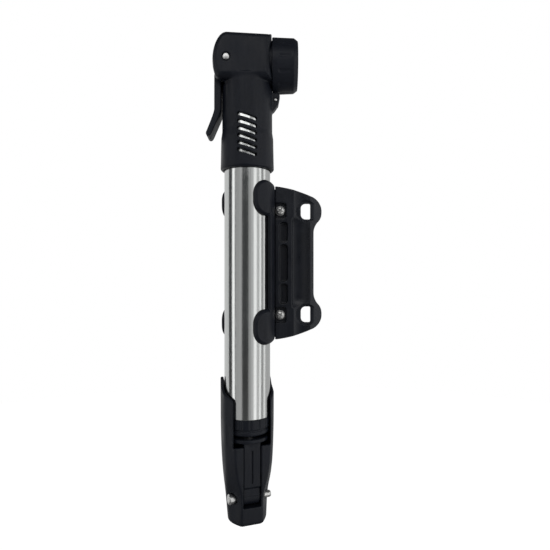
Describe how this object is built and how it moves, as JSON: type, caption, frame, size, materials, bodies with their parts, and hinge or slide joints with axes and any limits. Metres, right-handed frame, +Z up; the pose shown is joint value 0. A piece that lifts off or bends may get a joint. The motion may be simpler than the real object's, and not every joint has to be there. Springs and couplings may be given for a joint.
{
  "type": "mini pump",
  "caption": "Bicycle mini pump with a thumb-lock head, an aluminium barrel and a fold-out handle, clipped upright in a frame bracket with slotted ears.",
  "frame": {"origin": "on the bracket's flat frame pad, midway between the two bolt slots", "axes": "+Z up along the barrel towards the head, +Y out of the frame pad towards the bicycle tube, +X from the barrel towards the slotted ears, the way the nozzle points"},
  "size_m": [0.0712, 0.0342, 0.294],
  "materials": {
    "black_plastic": "satin moulded black nylon",
    "barrel_aluminium": "fine brushed along the barrel, clear anodised",
    "rod_aluminium": "polished",
    "plated_steel": "zinc plated",
    "rubber": "matt",
    "natural_nylon": "satin"
  },
  "bodies": {
    "bracket": {"clip": "black_plastic", "mount_plate": "black_plastic", "bracket_washer_upper": "plated_steel", "bracket_screw_upper": "plated_steel", "bracket_nut_upper": "plated_steel", "bracket_washer_lower": "plated_steel", "bracket_screw_lower": "plated_steel", "bracket_nut_lower": "plated_steel"},
    "pump": {"barrel_tube": "barrel_aluminium", "end_cap": "black_plastic", "rod_bush": "natural_nylon", "head_housing": "black_plastic", "barrel_plug": "black_plastic", "plug_o_ring": "rubber", "check_valve": "rubber", "lever_pin": "plated_steel", "lug_rivet": "plated_steel", "valve_gasket": "rubber"},
    "nozzle": {"nozzle_collar": "black_plastic"},
    "plunger": {"lock_plunger": "natural_nylon", "plunger_o_ring": "rubber"},
    "lever": {"thumb_lever": "black_plastic"},
    "rod": {"piston_rod": "rod_aluminium", "piston": "natural_nylon", "piston_seal": "rubber", "piston_screw": "plated_steel", "rod_end": "black_plastic"},
    "handle": {"handle_shell": "black_plastic", "handle_pin": "plated_steel"}
  },
  "joints": [
    {"name": "pump_twist", "type": "hinge", "parent": "bracket", "child": "pump", "pos_m": [-0.036, -0.0064, 0], "axis": [0, 0, 1], "continuous": true},
    {"name": "rod_slide", "type": "slide", "parent": "pump", "child": "rod", "axis": [0, 0, -1], "range_m": [0, 0.145]},
    {"name": "handle_fold", "type": "hinge", "parent": "rod", "child": "handle", "pos_m": [-0.03429, -0.0111, -0.1413], "axis": [-0.9397, -0.342, 0], "range_deg": [0, 90]},
    {"name": "lever_lock", "type": "hinge", "parent": "pump", "child": "lever", "pos_m": [-0.0477, -0.0064, 0.1204], "axis": [0, 1, 0], "range_deg": [0, 90]},
    {"name": "plunger_press", "type": "slide", "parent": "pump", "child": "plunger", "axis": [1, 0, 0], "range_m": [0, 0.00152]},
    {"name": "collar_turn", "type": "hinge", "parent": "pump", "child": "nozzle", "pos_m": [-0.02, -0.0064, 0.1204], "axis": [1, 0, 0], "range_deg": [0, 180]}
  ],
  "couplings": [
    {"joint": "plunger_press", "follows": "lever_lock", "m_per_rad": 0.00095493}
  ]
}
